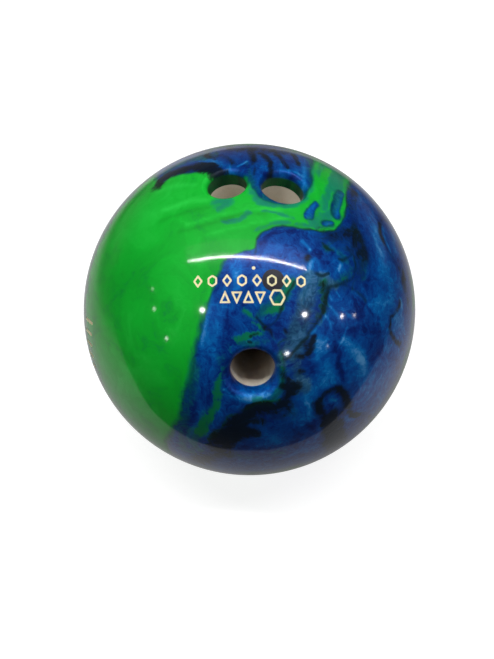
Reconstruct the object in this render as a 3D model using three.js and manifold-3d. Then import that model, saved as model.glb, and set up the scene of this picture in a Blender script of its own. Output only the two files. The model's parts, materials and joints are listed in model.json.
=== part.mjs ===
// A drilled ten-pin bowling ball, as its separate pieces: the swirled shell, the filler sphere,
// the weight block, the locator pin and the paint that fills the engraved marks.
// Millimetres, +Z up, origin at the ball's centre. The thumb hole faces the front (-Y), the fingers face up.

import * as THREE from 'three';
import { mergeVertices } from 'three/addons/utils/BufferGeometryUtils.js';
import Module from 'manifold-3d';

const wasm = await Module();
wasm.setup();

// The ball and its layers.
const BALL_RADIUS = 108.6;
const SHELL_THICKNESS = 10.5;
const LAYER_GAP = 0.3;
const PIN_RADIUS = 6.25;

// The facets that stand for round surfaces.
const OUTER_SPHERE_FACETS = 48;
const INNER_SPHERE_FACETS = 40;
const HOLE_FACETS = 24;
const EDGE_STEPS = 3;
const BLOCK_FACETS = 28;
const PIN_FACETS = 24;
const DOT_FACETS = 12;

// A place on the ball is two angles in degrees: "along" climbs from the front (-Y) over the top (+Z),
// and "across" leans from there towards the right (+X). A third, "swing", steps on from there up the ball.
const PIN_PLACE = { along: 46.7, across: 7 };
const CG_PLACE = { along: 50.3, across: 1.2 };

// The drilled holes point at the ball's centre. Each rim is rounded over the edge width and depth.
const DRILL_POINT = 4;
const HOLES = [
  { along: 18.7, across: 1, radius: 12.7, depth: 70, edgeWidth: 4.4, edgeDepth: 5.6 },
  { along: 81.8, across: -7.2, radius: 11.5, depth: 57, edgeWidth: 3.3, edgeDepth: 4 },
  { along: 80.9, across: 10.7, radius: 12.7, depth: 57, edgeWidth: 2.9, edgeDepth: 5.4 },
];

// Half the outline of the weight block, as [radius, height along the pin's axis].
const BLOCK_OUTLINE = [
  [0, -56],
  [24, -50],
  [40, -32],
  [45, -10],
  [38, 14],
  [27, 34],
  [25, 50],
  [16, 62],
  [0, 66],
];
const BLOCK_STEPS = 14;

// The engraved marks: how deep the paint lies, and how much wider the groove is than the paint.
const PAINT_DEPTH = 0.9;
const GROOVE_GAP = 0.3;
const CG_RADIUS = 1;
const UPPER_ROW = {
  along: 46.6, firstAcross: -15.4, step: 4.4, count: 8,
  width: 4.4, height: 5.8, line: 1.1,
};
const LOWER_ROW = {
  along: 41.6, firstAcross: -7.2, step: 3.45, count: 4,
  width: 4.8, height: 5.4, line: 1.1,
};
const LOWER_END = { along: 41.6, across: 8.2, width: 8.2, height: 7.8, line: 1.2 };
const SIDE_ROW = {
  along: 7, across: -68, firstSwing: 8.4, step: -4.2, count: 5,
  width: 15, height: 2.6, lean: 4,
};

// The middle lines of the marks' outlines, counterclockwise, on a square from -1 to 1.
const DIAMOND = [[0, 1], [-1, 0], [0, -1], [1, 0]];
const TALL_HEXAGON = [[0, 1], [-1, 0.5], [-1, -0.5], [0, -1], [1, -0.5], [1, 0.5]];
const WIDE_HEXAGON = [[0.5, 1], [-0.5, 1], [-1, 0], [-0.5, -1], [0.5, -1], [1, 0]];
const TRIANGLE_UP = [[0, 1], [-1, -1], [1, -1]];
const TRIANGLE_DOWN = [[1, 1], [-1, 1], [0, -1]];

const FINISH = {
  shell: { color: 0x14722f, roughness: 0.08, metalness: 0.2 },
  filler: { color: 0xcdbfa6, roughness: 0.7, metalness: 0 },
  block: { color: 0x2b2a2c, roughness: 0.6, metalness: 0 },
  pin: { color: 0x34303c, roughness: 0.15, metalness: 0 },
  paint: { color: 0xf6eec0, roughness: 0.4, metalness: 0 },
};

// ---- Places, solids and meshes ----

// The frame at a place on the ball: X to the right, Y up the ball, Z straight out of the centre.
function frameAt(place) {
  const climb = THREE.MathUtils.degToRad(place.along);
  const lean = THREE.MathUtils.degToRad(place.across);
  const swing = THREE.MathUtils.degToRad(place.swing ?? 0);
  const right = new THREE.Vector3(
    Math.cos(lean), Math.cos(climb) * Math.sin(lean), -Math.sin(climb) * Math.sin(lean));
  const up = new THREE.Vector3(0, Math.sin(climb), Math.cos(climb));
  const out = new THREE.Vector3().crossVectors(right, up);
  const frame = new THREE.Matrix4().makeBasis(right, up, out);
  return frame.multiply(new THREE.Matrix4().makeRotationX(-swing));
}

function toSolid(geometry) {
  geometry.deleteAttribute('normal');
  geometry.deleteAttribute('uv');
  const merged = mergeVertices(geometry);
  return new wasm.Manifold(new wasm.Mesh({
    numProp: 3,
    vertProperties: merged.getAttribute('position').array,
    triVerts: Uint32Array.from(merged.getIndex().array),
  }));
}

function toMesh(name, solid, finish) {
  const { vertProperties, triVerts } = solid.getMesh();
  const geometry = new THREE.BufferGeometry();
  geometry.setAttribute('position', new THREE.BufferAttribute(vertProperties, 3));
  geometry.setIndex(new THREE.BufferAttribute(triVerts, 1));
  geometry.computeVertexNormals();
  const mesh = new THREE.Mesh(geometry, new THREE.MeshStandardMaterial(finish));
  mesh.name = name;
  return mesh;
}

function cutAll(solid, tools) {
  return tools.reduce((rest, tool) => rest.subtract(tool), solid);
}

// A sphere about the ball's centre, with its poles on the Z axis.
function sphere(radius, facets) {
  return toSolid(new THREE.SphereGeometry(radius, facets, facets / 2).rotateX(Math.PI / 2));
}

// A turned solid. The outline is [radius, distance from the ball's centre], bottom to top, and starts and
// ends on the axis.
function turned(outline, facets, place) {
  const points = outline.map(([radius, height]) => new THREE.Vector2(radius, height));
  const geometry = new THREE.LatheGeometry(points, facets).rotateX(Math.PI / 2);
  return toSolid(geometry.applyMatrix4(frameAt(place)));
}

function rod(radius, bottom, top, facets, place) {
  return turned([[0, bottom], [radius, bottom], [radius, top], [0, top]], facets, place);
}

// ---- Drilled holes ----

// The space that one hole removes: drill point, straight bore, then a rim that rounds out to the surface.
function holeSpace(hole) {
  const rimRadius = hole.radius + hole.edgeWidth;
  const rimHeight = Math.sqrt(BALL_RADIUS ** 2 - rimRadius ** 2);
  const floorHeight = BALL_RADIUS - hole.depth;
  const outline = [[0, floorHeight - DRILL_POINT], [hole.radius, floorHeight]];
  for (let step = 0; step <= EDGE_STEPS; step += 1) {
    const turn = (Math.PI / 2) * (step / EDGE_STEPS);
    outline.push([
      hole.radius + hole.edgeWidth * (1 - Math.cos(turn)),
      rimHeight - hole.edgeDepth * (1 - Math.sin(turn)),
    ]);
  }
  outline.push([rimRadius, BALL_RADIUS + hole.edgeDepth], [0, BALL_RADIUS + hole.edgeDepth]);
  return turned(outline, HOLE_FACETS, hole);
}

// ---- Weight block ----

// The block's smooth outline, moved outward by the given amount.
function blockOutline(outward) {
  const corners = BLOCK_OUTLINE.map(([radius, height]) => new THREE.Vector2(radius, height));
  const curve = new THREE.SplineCurve(corners);
  return curve.getPoints(BLOCK_STEPS).map((point, index) => {
    if (index === 0) return [0, point.y - outward];
    if (index === BLOCK_STEPS) return [0, point.y + outward];
    const tangent = curve.getTangent(index / BLOCK_STEPS);
    return [point.x + tangent.y * outward, point.y - tangent.x * outward];
  });
}

// ---- Engraved marks ----

// A convex polygon with every side moved outward by the same distance.
function movedSides(corners, distance) {
  const sideNormal = (from, to) => new THREE.Vector2(to.y - from.y, from.x - to.x).normalize();
  return corners.map((corner, index) => {
    const before = sideNormal(corners.at(index - 1), corner);
    const after = sideNormal(corner, corners[(index + 1) % corners.length]);
    const reach = distance / (1 + before.dot(after));
    return before.add(after).multiplyScalar(reach).add(corner);
  });
}

// A polygon drawn as a line of even thickness. The line is the band between two copies of the polygon.
function outlinedPolygon(mark, extra) {
  const halfLine = mark.line / 2 + extra;
  const middle = mark.corners.map(([x, y]) => new THREE.Vector2((x * mark.width) / 2, (y * mark.height) / 2));
  const shape = new THREE.Shape(movedSides(middle, halfLine));
  shape.holes.push(new THREE.Path(movedSides(middle, -halfLine)));
  return shape;
}

// A leaning bar.
function leaningBar(mark, extra) {
  const halfWidth = mark.width / 2 + extra;
  const halfHeight = mark.height / 2 + extra;
  return new THREE.Shape([
    new THREE.Vector2(-halfWidth, -halfHeight - mark.lean / 2),
    new THREE.Vector2(halfWidth, -halfHeight + mark.lean / 2),
    new THREE.Vector2(halfWidth, halfHeight + mark.lean / 2),
    new THREE.Vector2(-halfWidth, halfHeight - mark.lean / 2),
  ]);
}

function dot(mark, extra) {
  return new THREE.Shape().absarc(0, 0, mark.radius + extra, 0, 2 * Math.PI);
}

// The mark's flat shape pushed out through the surface, from the given depth below it.
function punched(mark, depth, extra) {
  const bottom = BALL_RADIUS - depth;
  const options = { depth: depth + PAINT_DEPTH, bevelEnabled: false, curveSegments: DOT_FACETS };
  const geometry = new THREE.ExtrudeGeometry(mark.shape(mark, extra), options).translate(0, 0, bottom);
  return toSolid(geometry.applyMatrix4(frameAt(mark)));
}

function listMarks() {
  const marks = [];
  for (let index = 0; index < UPPER_ROW.count; index += 1) {
    marks.push({
      ...UPPER_ROW,
      name: `upper_mark_${index + 1}`,
      across: UPPER_ROW.firstAcross + index * UPPER_ROW.step,
      shape: outlinedPolygon,
      corners: index % 2 === 0 ? DIAMOND : TALL_HEXAGON,
    });
  }
  for (let index = 0; index < LOWER_ROW.count; index += 1) {
    marks.push({
      ...LOWER_ROW,
      name: `lower_mark_${index + 1}`,
      across: LOWER_ROW.firstAcross + index * LOWER_ROW.step,
      shape: outlinedPolygon,
      corners: index % 2 === 0 ? TRIANGLE_UP : TRIANGLE_DOWN,
    });
  }
  marks.push({
    ...LOWER_END,
    name: `lower_mark_${LOWER_ROW.count + 1}`,
    shape: outlinedPolygon,
    corners: WIDE_HEXAGON,
  });
  for (let index = 0; index < SIDE_ROW.count; index += 1) {
    marks.push({
      ...SIDE_ROW,
      name: `side_mark_${index + 1}`,
      swing: SIDE_ROW.firstSwing + index * SIDE_ROW.step,
      shape: leaningBar,
    });
  }
  marks.push({ ...CG_PLACE, name: 'cg_mark', radius: CG_RADIUS, shape: dot });
  return marks;
}

// ---- The assembly ----

const ball = sphere(BALL_RADIUS, OUTER_SPHERE_FACETS);
const shellInside = BALL_RADIUS - SHELL_THICKNESS;
const fillerRadius = shellInside - LAYER_GAP;
const blockTop = BLOCK_OUTLINE.at(-1)[1];
const marks = listMarks();

const holeSpaces = HOLES.map(holeSpace);
const grooves = marks.map((mark) => punched(mark, PAINT_DEPTH + GROOVE_GAP, GROOVE_GAP));
const pinSpace = rod(PIN_RADIUS + LAYER_GAP, blockTop, BALL_RADIUS + 1, PIN_FACETS, PIN_PLACE);

const shellSpaces = [sphere(shellInside, INNER_SPHERE_FACETS), ...holeSpaces, pinSpace, ...grooves];
const coverstock = cutAll(ball, shellSpaces);

const blockCavity = turned(blockOutline(LAYER_GAP), BLOCK_FACETS, PIN_PLACE);
const coreSpaces = [blockCavity, ...holeSpaces, pinSpace];
const outerCore = cutAll(sphere(fillerRadius, INNER_SPHERE_FACETS), coreSpaces);

const weightBlock = cutAll(turned(blockOutline(0), BLOCK_FACETS, PIN_PLACE), holeSpaces);

const pinBottom = blockTop + LAYER_GAP;
const fullPin = rod(PIN_RADIUS, pinBottom, BALL_RADIUS + 1, PIN_FACETS, PIN_PLACE);
const locatorPin = cutAll(fullPin.intersect(ball), grooves);

const bowlingBall = new THREE.Group();
bowlingBall.add(
  toMesh('coverstock', coverstock, FINISH.shell),
  toMesh('outer_core', outerCore, FINISH.filler),
  toMesh('weight_block', weightBlock, FINISH.block),
  toMesh('locator_pin', locatorPin, FINISH.pin),
);
for (const mark of marks) {
  const paint = punched(mark, PAINT_DEPTH, 0).intersect(ball);
  bowlingBall.add(toMesh(mark.name, paint, FINISH.paint));
}

export default bowlingBall;
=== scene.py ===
"""The looks of a drilled ten-pin bowling ball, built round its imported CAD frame.

Metres, +Z up, origin at the ball's centre; the thumb hole faces the front (-Y), the fingers face up.
The shell is one fine mesh with rounded hole rims and engraved grooves. Its swirl is laid out with brush
strokes on the sphere, which the shell's material turns into pearl blue, green and black resin.
"""

import json
import math

import bpy
import numpy as np
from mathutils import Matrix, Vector, noise


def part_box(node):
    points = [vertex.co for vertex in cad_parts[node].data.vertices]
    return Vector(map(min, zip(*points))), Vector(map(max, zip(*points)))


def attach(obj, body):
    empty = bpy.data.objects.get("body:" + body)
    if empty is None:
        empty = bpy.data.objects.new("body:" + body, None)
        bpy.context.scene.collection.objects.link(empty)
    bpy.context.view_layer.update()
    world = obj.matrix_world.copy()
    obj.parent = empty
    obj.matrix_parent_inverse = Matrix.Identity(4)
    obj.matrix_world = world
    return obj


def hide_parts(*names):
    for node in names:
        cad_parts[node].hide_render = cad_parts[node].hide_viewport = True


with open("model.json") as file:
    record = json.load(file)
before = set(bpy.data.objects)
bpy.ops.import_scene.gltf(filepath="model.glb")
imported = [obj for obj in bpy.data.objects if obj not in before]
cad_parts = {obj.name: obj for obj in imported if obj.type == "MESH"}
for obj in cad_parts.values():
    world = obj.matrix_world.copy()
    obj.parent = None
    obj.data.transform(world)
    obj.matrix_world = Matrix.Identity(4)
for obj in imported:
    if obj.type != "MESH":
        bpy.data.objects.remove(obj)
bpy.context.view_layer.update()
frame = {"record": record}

MM = 0.001

# ---- Sizes ----

BALL_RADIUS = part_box("coverstock")[1].x
FILLER_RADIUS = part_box("outer_core")[1].x
PIN_RADIUS = 6.25 * MM
CAMERA_ELEVATION = 38  # degrees above level, as in the photograph
JOIN = 0.01 * MM  # layers that are cast onto each other stay this far apart
SHELL_PER_SIDE = 120
SHELL_CROWDING = 0.5  # how much closer the shell's points lie where the holes and marks are
FILLER_PER_SIDE = 60

HOLES = {
    "thumb": {"radius": 12.7 * MM, "depth": 70 * MM, "edge_width": 4.4 * MM, "edge_depth": 5.6 * MM},
    "left_finger": {"radius": 11.5 * MM, "depth": 57 * MM, "edge_width": 3.3 * MM, "edge_depth": 4 * MM},
    "right_finger": {"radius": 12.7 * MM, "depth": 57 * MM, "edge_width": 2.9 * MM, "edge_depth": 5.4 * MM},
}
DRILL_POINT = 4 * MM
EDGE_STEPS = 12
TURNED_STEPS = 96
BLOCK_STEPS = 6
BLOCK_SHRINK = 0.9995  # keeps the weight block just clear of the filler

# Half the outline of the weight block: (radius, height along the pin's axis) in millimetres.
BLOCK_OUTLINE = [(0, -56), (24, -50), (40, -32), (45, -10), (38, 14), (27, 34), (25, 50), (16, 62), (0, 66)]

# Engraved marks, as in the CAD source: places in degrees, sizes in millimetres.
PAINT_DEPTH = 0.9 * MM
PAINT_RECESS = 0.22 * MM
GROOVE_GAP = 0.04 * MM
UPPER_ROW = {
    "along": 46.6, "first": -15.4, "step": 4.4, "count": 8,
    "width": 4.4, "height": 5.8, "line": 1.1,
}
LOWER_ROW = {
    "along": 41.6, "first": -7.2, "step": 3.45, "count": 4,
    "width": 4.8, "height": 5.4, "line": 1.1,
}
LOWER_END = {"along": 41.6, "across": 8.2, "width": 8.2, "height": 7.8, "line": 1.2}
SIDE_ROW = {
    "along": 7, "across": -68, "first": 8.4, "step": -4.2, "count": 5,
    "length": 15, "lean": 4, "line": 2.6,
}
DIAMOND = [(0, 1), (-1, 0), (0, -1), (1, 0)]
TALL_HEXAGON = [(0, 1), (-1, 0.5), (-1, -0.5), (0, -1), (1, -0.5), (1, 0.5)]
WIDE_HEXAGON = [(0.5, 1), (-0.5, 1), (-1, 0), (-0.5, -1), (0.5, -1), (1, 0)]
TRIANGLE_UP = [(0, 1), (-1, -1), (1, -1)]
TRIANGLE_DOWN = [(1, 1), (-1, 1), (0, -1)]
INNER_ROUNDING = 0.25
OUTER_ROUNDING = 0.8
BAR_TIP = 0.06  # how wide a bar's very end is, as a share of the bar
BAR_TAPER = 0.35  # below 1 keeps a bar wide until close to its ends
PAINT_LANES = (0, 0.2, 0.5, 0.8, 1)  # shares of the way across a band
DISC_RINGS = (1, 0.7, 0.35, 0)
PIN_PLACE = {"along": 46.7, "across": 7}
CG_PLACE = {"along": 50.3, "across": 1.2}
CG_RADIUS = 1.0
FRONT_PLACE = {"along": 40, "across": 2}  # where the shell's points crowd together

# How close a point of a cut mesh lies to a sphere, a rod or a hole that it belongs to.
ON_SURFACE = 0.03 * MM
ON_HOLE = 0.04 * MM
BELOW_SURFACE = 0.01 * MM  # how deep the points that the drill made begin
FLOOR_SLACK = 0.1 * MM  # how far below a hole's floor its wall still counts
FACE_AGREES = 0.8  # the least cosine between a face and the surface that it belongs to
TINY = 1e-9  # keeps a division off zero


def unit(vectors):
    """Vectors scaled to length 1."""
    vectors = np.asarray(vectors, float)
    return vectors / np.linalg.norm(vectors, axis=-1, keepdims=True)


def place_axes(along, across, swing=0.0):
    """Columns right, up and outward at a place on the ball.

    Along climbs from the front (-Y) over the top (+Z), across leans from there towards the right (+X), and
    swing steps on from there up the ball. All are in degrees.
    """
    climb, lean, extra = math.radians(along), math.radians(across), math.radians(swing)
    right = np.array([math.cos(lean), math.cos(climb) * math.sin(lean), -math.sin(climb) * math.sin(lean)])
    up = np.array([0, math.sin(climb), math.cos(climb)])
    out = np.cross(right, up)
    turned_up = up * math.cos(extra) - out * math.sin(extra)
    turned_out = out * math.cos(extra) + up * math.sin(extra)
    return np.column_stack([right, turned_up, turned_out])


def hole_axes(name):
    """The axes of a drilled hole, from the opening that the record states at its mouth."""
    for opening in frame["record"]["physics"]["openings"]:
        if opening["name"] == name + "_mouth":
            out = unit(np.mean(opening["box_m"], axis=0))
            up = unit(np.cross(out, (1, 0, 0)))
            return np.column_stack([np.cross(up, out), up, out])
    raise ValueError(f"the record states no opening {name}_mouth")


# ---- Meshes ----


def make_object(name, points, faces):
    """A new object with this mesh, linked to the scene."""
    mesh = bpy.data.meshes.new(name)
    mesh.from_pydata([tuple(p) for p in points], [], [tuple(f) for f in faces])
    mesh.update()
    made = bpy.data.objects.new(name, mesh)
    bpy.context.scene.collection.objects.link(made)
    return made


def crowded(directions, toward, amount):
    """Directions drawn closer together round one of them, by up to the amount."""
    cosine = np.clip(directions @ toward, -1, 1)[:, None]
    aside = directions - cosine * toward
    sine = np.linalg.norm(aside, axis=1, keepdims=True)
    angle = np.arctan2(sine, cosine) - amount * sine
    return toward * np.cos(angle) + aside / np.maximum(sine, TINY) * np.sin(angle)


def cube_sphere(name, radius, per_side, crowding=0.0):
    """A sphere of even quads: the six sides of a cube, pushed out to the radius."""
    turns = np.tan(np.linspace(-math.pi / 4, math.pi / 4, per_side + 1))
    across, along = np.meshgrid(turns, turns)
    side = np.stack([across, along, np.ones_like(across)], axis=-1).reshape(-1, 3)
    row = per_side + 1
    corner = (np.arange(per_side)[:, None] * row + np.arange(per_side)).ravel()
    quads = np.stack([corner, corner + 1, corner + row + 1, corner + row], axis=-1)
    points, faces = [], []
    for axis in range(3):
        for sign in (1, -1):
            turned = np.roll(side, axis, axis=1)
            turned[:, (2 + axis) % 3] *= sign
            faces.append(quads[:, ::sign] + len(points) * row * row)
            points.append(turned)
    points = unit(np.concatenate(points))
    keys = np.round(points, 7) + 0.0
    _, first, where = np.unique(keys, axis=0, return_index=True, return_inverse=True)
    points = crowded(points[first], place_axes(**FRONT_PLACE)[:, 2], crowding)
    return make_object(name, points * radius, where.reshape(-1)[np.concatenate(faces)])


def turned_object(name, outline, axes, steps=TURNED_STEPS):
    """A solid of revolution. Its (radius, height) outline climbs, and starts and ends on the axis."""
    angles = np.arange(steps) * 2 * math.pi / steps
    points = [axes @ [0, 0, outline[0][1]]]
    for radius, height in outline[1:-1]:
        points += [axes @ [radius * math.cos(a), radius * math.sin(a), height] for a in angles]
    points.append(axes @ [0, 0, outline[-1][1]])
    faces = []
    for i in range(steps):
        j = (i + 1) % steps
        faces.append((0, 1 + j, 1 + i))
        for ring in range(len(outline) - 3):
            start = 1 + ring * steps
            faces.append((start + i, start + j, start + steps + j, start + steps + i))
        start = 1 + (len(outline) - 3) * steps
        faces.append((start + i, start + j, len(points) - 1))
    return make_object(name, points, faces)


def join(name, objects):
    """One object from several that don't touch."""
    points, faces = [], []
    for made in objects:
        start = len(points)
        points += [tuple(v.co) for v in made.data.vertices]
        faces += [[start + i for i in face.vertices] for face in made.data.polygons]
    discard(objects)
    return make_object(name, points, faces)


def discard(objects):
    """Takes tools that have done their work out of the file."""
    for made in objects:
        bpy.data.objects.remove(made)


def cut(target, tools):
    """Takes the tools' space out of the target."""
    for tool in tools:
        modifier = target.modifiers.new(tool.name, "BOOLEAN")
        modifier.operation = "DIFFERENCE"
        modifier.solver = "MANIFOLD"
        modifier.object = tool
    bpy.context.view_layer.update()
    evaluated = target.evaluated_get(bpy.context.evaluated_depsgraph_get())
    mesh = bpy.data.meshes.new_from_object(evaluated)
    target.modifiers.clear()
    target.data = mesh
    mesh.name = target.name


def vertex_places(mesh):
    """Every vertex of a mesh, as one array."""
    places = np.zeros(len(mesh.vertices) * 3, np.float32)
    mesh.vertices.foreach_get("co", places)
    return places.reshape(-1, 3).astype(float)


# ---- Smooth shading of cut meshes ----


def round_normals(made, spheres=(), holes=(), rods=()):
    """Sets exact normals on the spheres, holes and rods of a cut mesh; its other faces stay flat."""
    mesh = made.data
    places = vertex_places(mesh)
    vertex = np.zeros(len(mesh.loops), np.int32)
    mesh.loops.foreach_get("vertex_index", vertex)
    sizes = np.zeros(len(mesh.polygons), np.int32)
    mesh.polygons.foreach_get("loop_total", sizes)
    face = np.repeat(np.arange(len(sizes)), sizes)
    flat = np.zeros(len(mesh.polygons) * 3, np.float32)
    mesh.polygons.foreach_get("normal", flat)
    normals = flat.reshape(-1, 3).astype(float)[face]
    surfaces = [sphere_surface(places, radius) for radius in spheres]
    surfaces += [hole_surface(places, name) for name in holes]
    surfaces += [rod_surface(places, axes, radius) for axes, radius in rods]
    free = np.ones(len(sizes), bool)
    for on_surface, exact in surfaces:
        whole = free.copy()
        np.logical_and.at(whole, face, on_surface[vertex])
        agrees = np.abs(np.sum(exact[vertex] * normals, axis=1)) > FACE_AGREES
        np.logical_and.at(whole, face, agrees)
        chosen = whole[face]
        facing = np.sign(np.sum(exact[vertex[chosen]] * normals[chosen], axis=1, keepdims=True))
        normals[chosen] = exact[vertex[chosen]] * facing
        free &= ~whole
    mesh.polygons.foreach_set("use_smooth", np.ones(len(sizes), bool))
    mesh.normals_split_custom_set([tuple(n) for n in normals])


def sphere_surface(places, radius):
    """Which places lie on a sphere round the ball's centre, and its normals there."""
    reach = np.linalg.norm(places, axis=1)
    return np.abs(reach - radius) < ON_SURFACE, places / np.maximum(reach, MM)[:, None]


def rod_surface(places, axes, radius):
    """Which places lie on a rod's side, and its normals there."""
    height = places @ axes[:, 2]
    radial = places - height[:, None] * axes[:, 2]
    distance = np.linalg.norm(radial, axis=1)
    return np.abs(distance - radius) < ON_SURFACE, radial / np.maximum(distance, TINY)[:, None]


def hole_surface(places, name):
    """Which places lie on the bore and rounded rim of a drilled hole, and its normals there."""
    hole, out = HOLES[name], hole_axes(name)[:, 2]
    rim_height = math.sqrt(BALL_RADIUS**2 - (hole["radius"] + hole["edge_width"]) ** 2)
    height = places @ out
    radial = places - height[:, None] * out
    distance = np.linalg.norm(radial, axis=1)
    turn = np.arcsin(np.clip(1 - (rim_height - height) / hole["edge_depth"], 0, 1))
    wall = hole["radius"] + hole["edge_width"] * (1 - np.cos(turn))
    above_floor = height > BALL_RADIUS - hole["depth"] - FLOOR_SLACK
    inward = -radial / np.maximum(distance, TINY)[:, None]
    inward_share = (np.cos(turn) / hole["edge_width"])[:, None]
    outward_share = (np.sin(turn) / hole["edge_depth"])[:, None]
    exact = unit(inward * inward_share + out * outward_share)
    return (np.abs(distance - wall) < ON_HOLE) & above_floor, exact


# ---- Drilled holes, pin and weight block ----


def hole_outline(hole):
    """The space that a hole takes out: drill point, straight bore, and a rim that rounds to the surface."""
    rim_radius = hole["radius"] + hole["edge_width"]
    rim_height = math.sqrt(BALL_RADIUS**2 - rim_radius**2)
    floor = BALL_RADIUS - hole["depth"]
    outline = [(0, floor - DRILL_POINT), (hole["radius"], floor)]
    for step in range(EDGE_STEPS + 1):
        turn = math.pi / 2 * step / EDGE_STEPS
        radius = hole["radius"] + hole["edge_width"] * (1 - math.cos(turn))
        outline.append((radius, rim_height - hole["edge_depth"] * (1 - math.sin(turn))))
    above = BALL_RADIUS + hole["edge_depth"]
    return outline + [(rim_radius, above), (0, above)]


def rod_outline(radius, bottom, top):
    """A plain rod between two heights."""
    return [(0, bottom), (radius, bottom), (radius, top), (0, top)]


def capped_rod_outline(radius, bottom, steps=8):
    """A rod whose top follows the ball's surface."""
    outline = [(0, bottom), (radius, bottom)]
    for step in range(steps, -1, -1):
        ring = radius * step / steps
        outline.append((ring, math.sqrt(BALL_RADIUS**2 - ring**2)))
    return outline


def curve_through(points, steps):
    """A Catmull-Rom curve through the points."""
    points = np.asarray(points, float)
    padded = np.concatenate([[2 * points[0] - points[1]], points, [2 * points[-1] - points[-2]]])
    path = []
    for i in range(len(points) - 1):
        before, start, end, after = padded[i : i + 4]
        for t in np.arange(steps) / steps:
            bend = 2 * before - 5 * start + 4 * end - after
            twist = 3 * start - before - 3 * end + after
            path.append(0.5 * (2 * start + (end - before) * t + bend * t**2 + twist * t**3))
    return np.array(path + [points[-1]])


def block_outline():
    """A smooth curve through the weight block's outline, in metres."""
    path = curve_through(BLOCK_OUTLINE, BLOCK_STEPS) * MM
    path[:, 0] = np.maximum(path[:, 0], 0)
    return [tuple(p) for p in path]


# ---- Engraved marks ----


def moved_sides(corners, distance):
    """A convex polygon with every side moved outward by the same distance."""
    sides = unit(np.roll(corners, -1, axis=0) - corners)
    after = np.stack([sides[:, 1], -sides[:, 0]], axis=-1)
    before = np.roll(after, 1, axis=0)
    reach = distance / (1 + np.sum(before * after, axis=1, keepdims=True))
    return corners + (before + after) * reach


def rounded_path(corners, rounding, steps=6):
    """A polygon's outline with short curves at its corners."""
    path = []
    for i, corner in enumerate(corners):
        before, after = corners[i - 1] - corner, corners[(i + 1) % len(corners)] - corner
        start = corner + unit(before) * rounding
        end = corner + unit(after) * rounding
        for t in np.linspace(0, 1, steps):
            path.append(start * (1 - t) ** 2 + 2 * corner * t * (1 - t) + end * t**2)
    return np.array(path)


def outlined_polygon(corners, width, height, line):
    """The right and left edges of a polygon drawn as a line, for any extra width of that line."""
    middle = np.array(corners) * [width / 2, height / 2]

    def edges(extra):
        inner = rounded_path(moved_sides(middle, -line / 2 - extra), INNER_ROUNDING)
        outer = rounded_path(moved_sides(middle, line / 2 + extra), OUTER_ROUNDING)
        return outer, inner, True

    return edges


def leaning_bar(length, lean, line, steps=16):
    """The right and left edges of a leaning bar with rounded ends."""

    def edges(extra):
        swing = np.linspace(-math.pi / 2, math.pi / 2, steps)
        middle = np.stack([np.sin(swing) * (length / 2 + extra), np.sin(swing) * lean / 2], axis=-1)
        half = (line / 2 + extra) * np.clip(np.cos(swing), BAR_TIP, 1) ** BAR_TAPER
        shift = np.stack([np.zeros(steps), half], axis=-1)
        return middle - shift, middle + shift, False

    return edges


def engraved_band(name, edges, axes, extra, top, bottom):
    """A closed band between two flat edges laid on the ball, from one depth below its surface to another.

    Paint sags a little between its edges, and a groove, which is wider by the extra, doesn't.
    """
    rights, lefts, closed = edges(extra / MM)
    sag = 0 if extra else PAINT_RECESS / 2
    lanes = [(t, top + sag * (1 - (2 * t - 1) ** 2)) for t in PAINT_LANES]
    lanes += [(1, bottom), (0, bottom)]
    points = []
    for start, end in zip(rights * MM, lefts * MM):
        for t, depth in lanes:
            flat = start + (end - start) * t
            height = math.sqrt((BALL_RADIUS - depth) ** 2 - flat @ flat)
            points.append(axes @ [flat[0], flat[1], height])
    count, width = len(rights), len(lanes)
    faces = []
    for i in range(count if closed else count - 1):
        j = (i + 1) % count
        for k in range(width):
            m = (k + 1) % width
            faces.append((i * width + k, j * width + k, j * width + m, i * width + m))
    if not closed:
        faces.append(tuple(range(width)))
        faces.append(tuple((count - 1) * width + k for k in reversed(range(width))))
    return make_object(name, points, faces)


def disc_object(name, axes, radius, top, bottom, steps=32):
    """A short plug whose top follows the ball."""
    outline = [(0, BALL_RADIUS - bottom), (radius, BALL_RADIUS - bottom)]
    for share in DISC_RINGS:
        ring = radius * share
        outline.append((ring, math.sqrt((BALL_RADIUS - top) ** 2 - ring**2)))
    return turned_object(name, outline, axes, steps)


def list_marks():
    """Every engraved mark but the dot: its name, its axes on the ball and its edges."""
    marks = []
    rows = [
        ("upper_mark", UPPER_ROW, (DIAMOND, TALL_HEXAGON)),
        ("lower_mark", LOWER_ROW, (TRIANGLE_UP, TRIANGLE_DOWN)),
    ]
    for name, row, shapes in rows:
        for i in range(row["count"]):
            axes = place_axes(row["along"], row["first"] + i * row["step"])
            edges = outlined_polygon(shapes[i % 2], row["width"], row["height"], row["line"])
            marks.append((f"{name}_{i + 1}", axes, edges))
    end = LOWER_END
    edges = outlined_polygon(WIDE_HEXAGON, end["width"], end["height"], end["line"])
    marks.append((f"lower_mark_{LOWER_ROW['count'] + 1}", place_axes(end["along"], end["across"]), edges))
    row = SIDE_ROW
    for i in range(row["count"]):
        axes = place_axes(row["along"], row["across"], row["first"] + i * row["step"])
        marks.append((f"side_mark_{i + 1}", axes, leaning_bar(row["length"], row["lean"], row["line"])))
    return marks


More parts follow.
